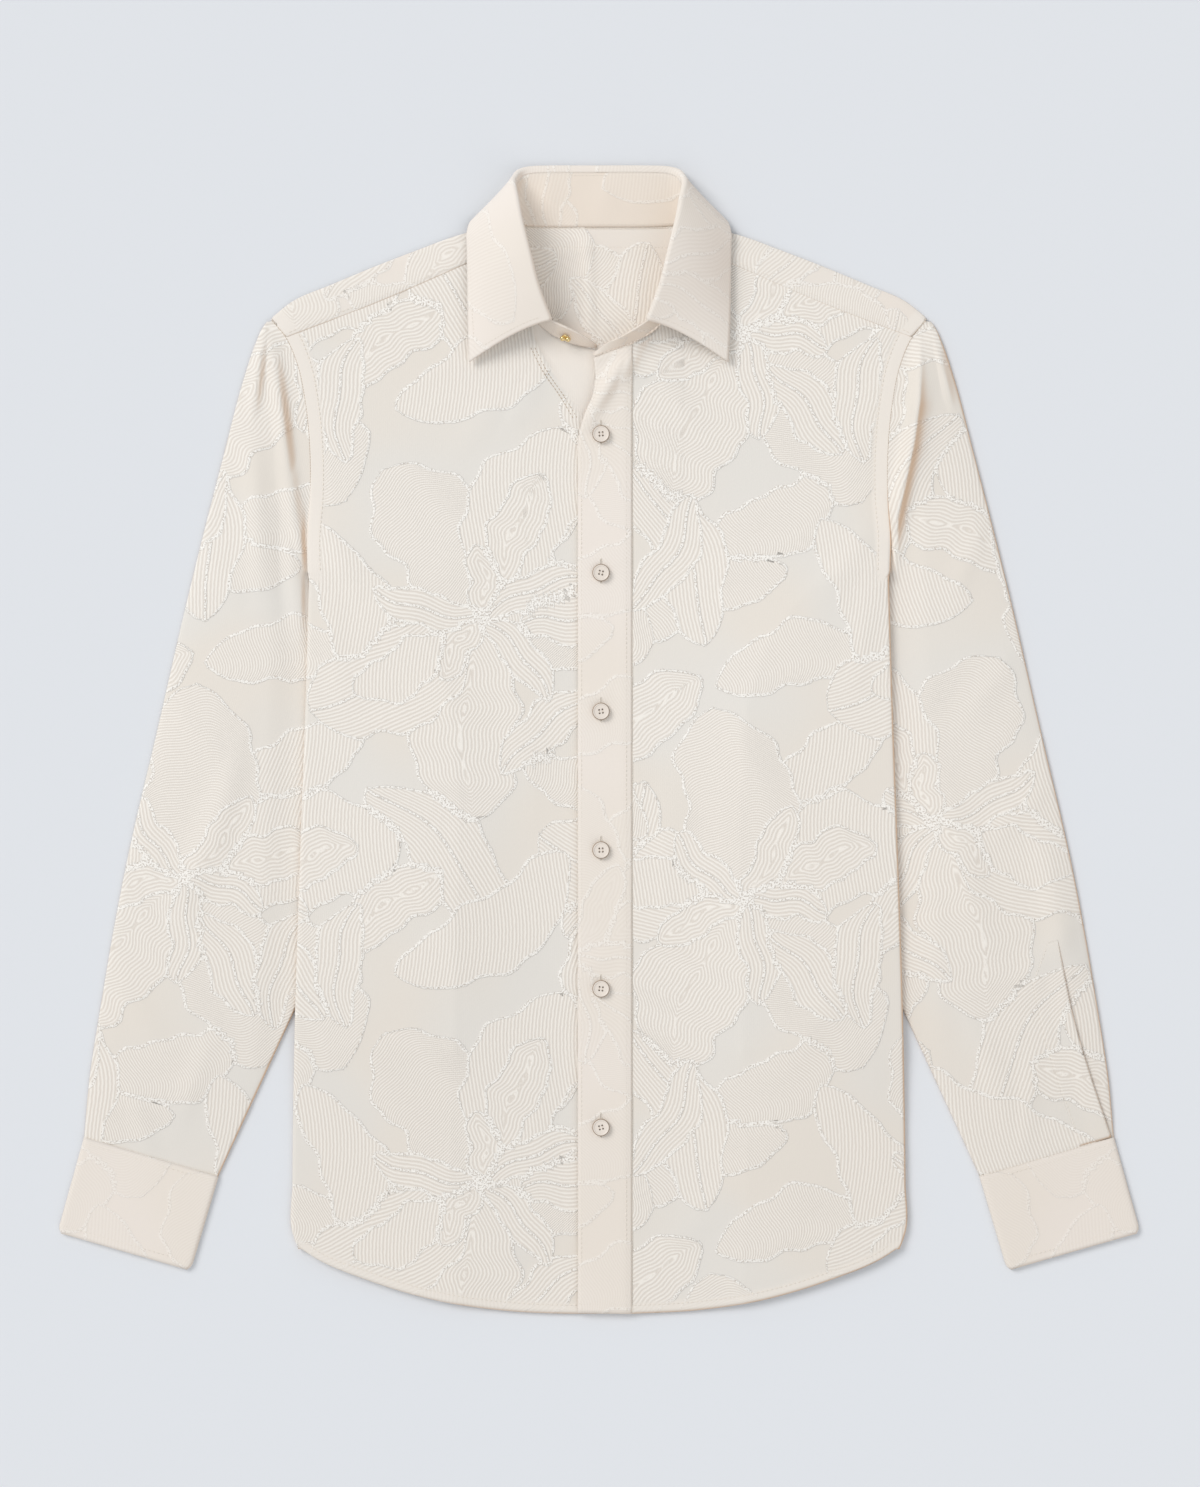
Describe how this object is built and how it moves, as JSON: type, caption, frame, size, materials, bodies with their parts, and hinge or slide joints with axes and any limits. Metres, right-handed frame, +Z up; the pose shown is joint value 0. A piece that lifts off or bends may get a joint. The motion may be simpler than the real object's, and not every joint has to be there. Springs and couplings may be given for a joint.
{
  "type": "jacquard shirt",
  "caption": "Long-sleeved, fully buttoned shirt in a raised floral jacquard, lying flat on its back with the collar standing up round an open neck.",
  "frame": {"origin": "centre of the box's bottom face, on the surface that the shirt lies on, under its middle", "axes": "+Z up from the back to the front of the shirt, +Y from the hem to the collar, +X to the right as the shirt is seen from above"},
  "size_m": [0.7368, 0.7808, 0.033],
  "materials": {
    "jacquard": "cream figured weave: fine raised ribs and fleecy outlines on a smooth ground, soft matt sheen",
    "jacquard_double": "the same cream weave in two layers, pressed smooth and stitched near its edges",
    "shell_button": "satin cream shell, turned rim, four holes sewn with cream thread",
    "gold_stud": "polished gold-coloured metal"
  },
  "bodies": {
    "root": {"back": "jacquard", "yoke": "jacquard", "front_left": "jacquard", "front_right": "jacquard", "placket": "jacquard_double", "sleeve_left": "jacquard", "cuff_left": "jacquard_double", "sleeve_right": "jacquard", "cuff_right": "jacquard_double", "sleeve_placket_right": "jacquard", "collar_stand": "jacquard_double", "collar_leaf": "jacquard_double", "button_1": "shell_button", "button_2": "shell_button", "button_3": "shell_button", "button_4": "shell_button", "button_5": "shell_button", "button_6": "shell_button", "collar_stud": "gold_stud"}
  },
  "joints": []
}
